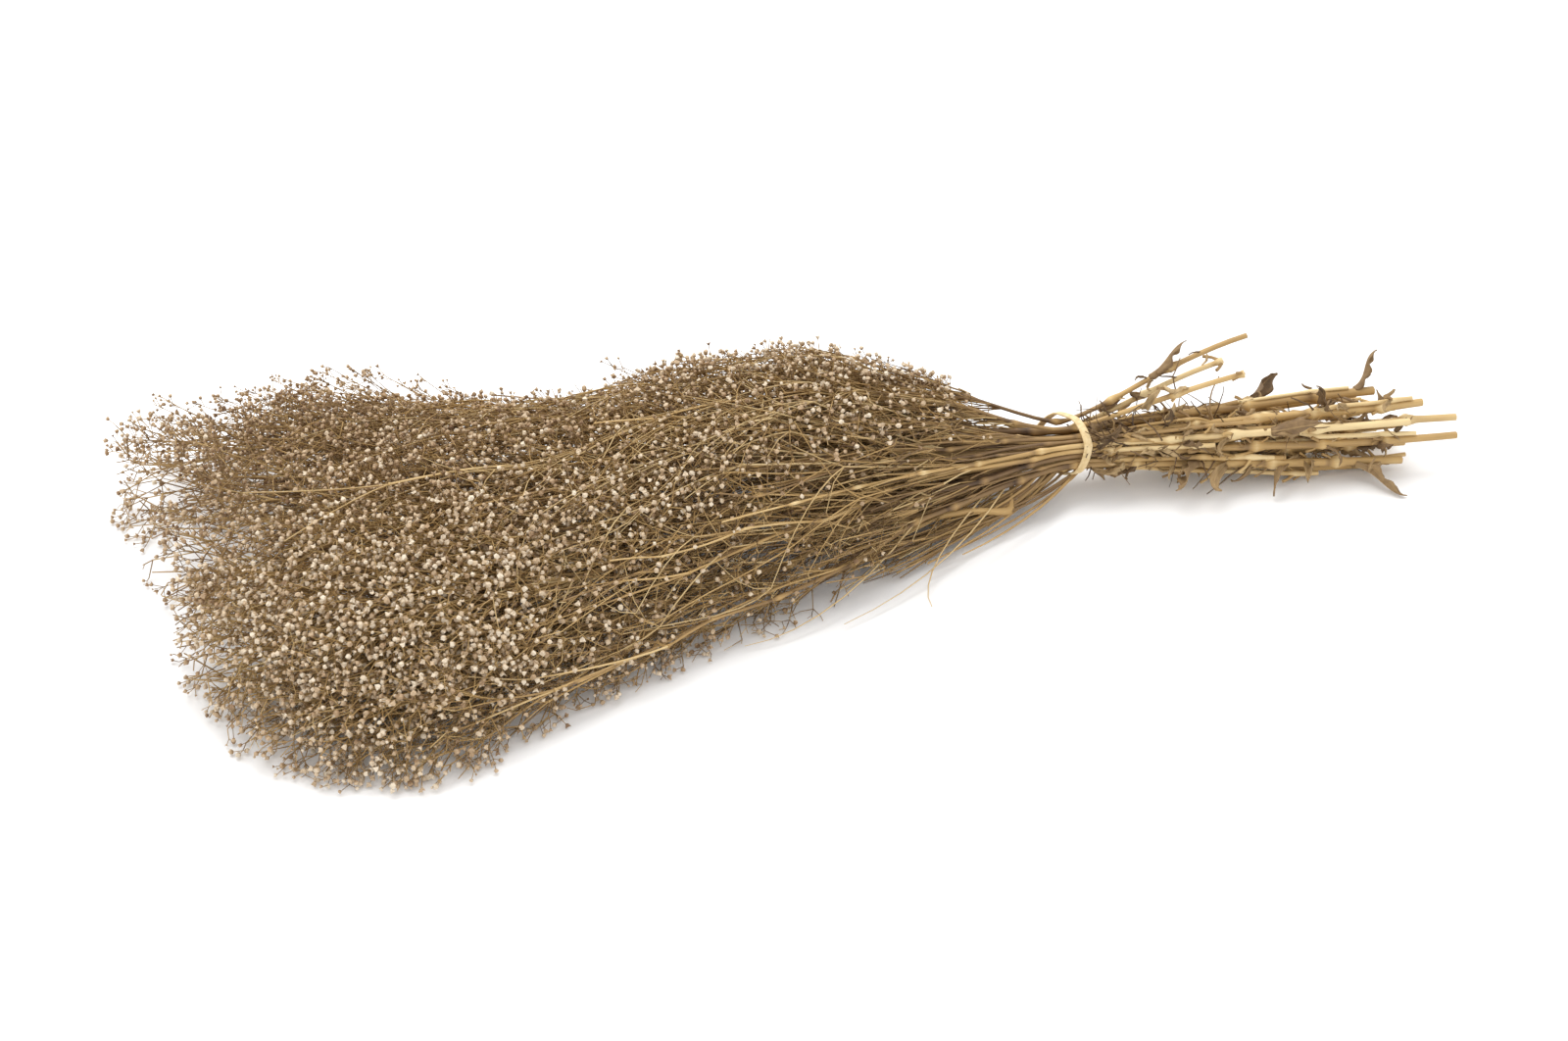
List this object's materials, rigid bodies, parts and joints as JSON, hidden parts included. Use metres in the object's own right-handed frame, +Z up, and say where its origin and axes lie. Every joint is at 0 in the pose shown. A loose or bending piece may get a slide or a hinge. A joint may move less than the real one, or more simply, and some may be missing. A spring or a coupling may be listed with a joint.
{
  "type": "bunch of preserved gypsophila",
  "caption": "Tied bunch of dried, preserved baby's breath lying on its side: a wide mass of fine budded sprays gathered by an elastic band, with bare cut stems behind it.",
  "frame": {"origin": "bottom centre of the bounding box, on the surface that the bunch lies on", "axes": "+X towards the cut ends, along the bunch; +Z up; +Y across it"},
  "size_m": [0.6814, 0.2844, 0.0969],
  "materials": {
    "dried_stem": "dry straw-brown stems, twigs and pale beige buds, matt",
    "withered_leaf": "dry dark-brown curled leaf, matt",
    "elastic_band": "pale tan rubber, slightly translucent, satin"
  },
  "bodies": {
    "root": {"band": "elastic_band", "leaf_01": "withered_leaf", "leaf_02": "withered_leaf", "leaf_03": "withered_leaf", "leaf_04": "withered_leaf", "leaf_05": "withered_leaf", "leaf_06": "withered_leaf", "leaf_07": "withered_leaf", "leaf_08": "withered_leaf", "leaf_09": "withered_leaf", "leaf_10": "withered_leaf", "leaf_11": "withered_leaf", "leaf_12": "withered_leaf", "spray_01": "dried_stem", "spray_02": "dried_stem", "spray_03": "dried_stem", "spray_04": "dried_stem", "spray_05": "dried_stem", "spray_06": "dried_stem", "spray_07": "dried_stem", "spray_08": "dried_stem", "spray_09": "dried_stem", "spray_10": "dried_stem", "spray_11": "dried_stem", "spray_12": "dried_stem", "spray_13": "dried_stem", "spray_14": "dried_stem", "spray_15": "dried_stem", "spray_16": "dried_stem", "spray_17": "dried_stem", "spray_18": "dried_stem", "spray_19": "dried_stem", "spray_20": "dried_stem", "spray_21": "dried_stem"}
  },
  "joints": []
}
